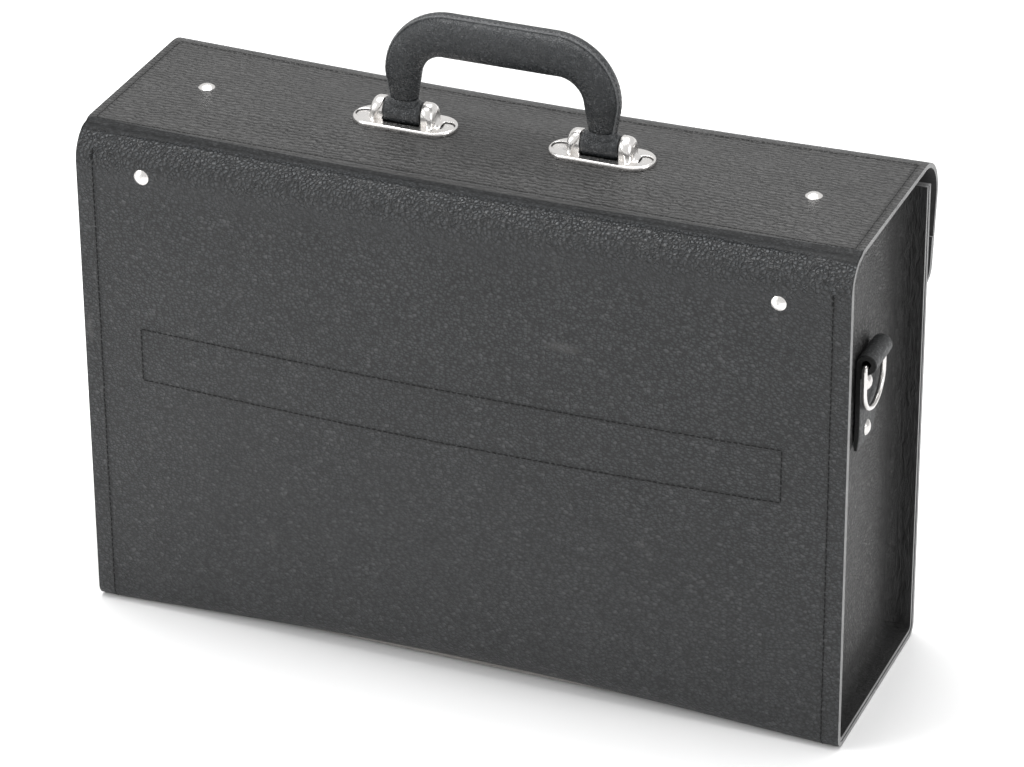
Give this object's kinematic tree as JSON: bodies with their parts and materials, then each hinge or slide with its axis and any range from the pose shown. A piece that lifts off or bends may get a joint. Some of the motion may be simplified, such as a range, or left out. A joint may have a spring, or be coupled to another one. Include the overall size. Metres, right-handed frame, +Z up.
{
  "type": "drafting instrument case",
  "caption": "Box-shaped drafting case of grained black sheet with recessed gussets, hinged lid with fold-over flap, padded handle, strap rings and turning catches.",
  "frame": {"origin": "middle of the flat base that the case stands on", "axes": "+X along the width towards the case's left strap ring as seen from behind, +Y towards the hinged back, +Z up; the front with the flap faces -Y"},
  "size_m": [0.45, 0.1506, 0.3694],
  "materials": {
    "leather": "pebble grain, satin",
    "raw_edge": "cut edge of the sheet, matt",
    "thread": "twisted sewing thread",
    "nickel": "bright nickel plate",
    "steel": "plain steel",
    "board": "grey fibreboard",
    "lining": "dark lining cloth"
  },
  "bodies": {
    "case": {"body_sheet": "leather", "gusset_left": "leather", "gusset_right": "leather", "bottom_board": "board", "back_bar": "steel", "back_rivets": "nickel", "instrument_strip": "leather", "instrument_loop_1": "leather", "instrument_loop_2": "leather", "instrument_loop_3": "leather", "instrument_loop_4": "leather", "instrument_loop_5": "leather", "instrument_loop_6": "leather", "ring_tab_left": "leather", "ring_tab_right": "leather", "tab_rivets": "nickel", "catch_base_left": "nickel", "catch_base_right": "nickel", "catch_base_rivets": "nickel", "catch_washers": "steel"},
    "lid": {"hinge_bend": "leather", "lid_panel": "leather", "lid_board": "board", "lid_lining": "lining", "lid_bar": "steel", "lid_rivets": "nickel", "handle_bracket_left": "nickel", "handle_bracket_right": "nickel", "pivot_bars": "steel", "bracket_rivets": "nickel"},
    "flap": {"flap_bend": "leather", "flap_panel": "leather", "flap_strip": "leather", "strike_plates": "nickel", "strike_rivets": "nickel"},
    "handle": {"handle_grip": "leather", "handle_core": "steel", "handle_loops": "leather"},
    "ring_left": {"strap_ring_left": "nickel"},
    "ring_right": {"strap_ring_right": "nickel"},
    "button_left": {"catch_button_left": "nickel"},
    "button_right": {"catch_button_right": "nickel"}
  },
  "joints": [
    {"name": "lid_hinge", "type": "hinge", "parent": "case", "child": "lid", "pos_m": [0, 0.06321, 0.29571], "axis": [-1, 0, 0], "range_deg": [0, 120], "deforming": ["hinge_bend"]},
    {"name": "flap_hinge", "type": "hinge", "parent": "lid", "child": "flap", "pos_m": [0, -0.07595, 0.29485], "axis": [-1, 0, 0], "range_deg": [0, 95], "deforming": ["flap_bend"]},
    {"name": "handle_swing", "type": "hinge", "parent": "lid", "child": "handle", "pos_m": [0, -0.0048, 0.3075], "axis": [1, 0, 0], "range_deg": [-80, 80]},
    {"name": "ring_left_swing", "type": "hinge", "parent": "case", "child": "ring_left", "pos_m": [-0.2158, -0.0048, 0.20875], "axis": [0, 1, 0], "range_deg": [0, 170]},
    {"name": "ring_right_swing", "type": "hinge", "parent": "case", "child": "ring_right", "pos_m": [0.2158, -0.0048, 0.20875], "axis": [0, -1, 0], "range_deg": [0, 170]},
    {"name": "button_left_turn", "type": "hinge", "parent": "case", "child": "button_left", "pos_m": [-0.11, -0.0715, 0.19208], "axis": [0, 1, 0], "range_deg": [0, 90]},
    {"name": "button_right_turn", "type": "hinge", "parent": "case", "child": "button_right", "pos_m": [0.11, -0.0715, 0.19208], "axis": [0, -1, 0], "range_deg": [0, 90]}
  ]
}
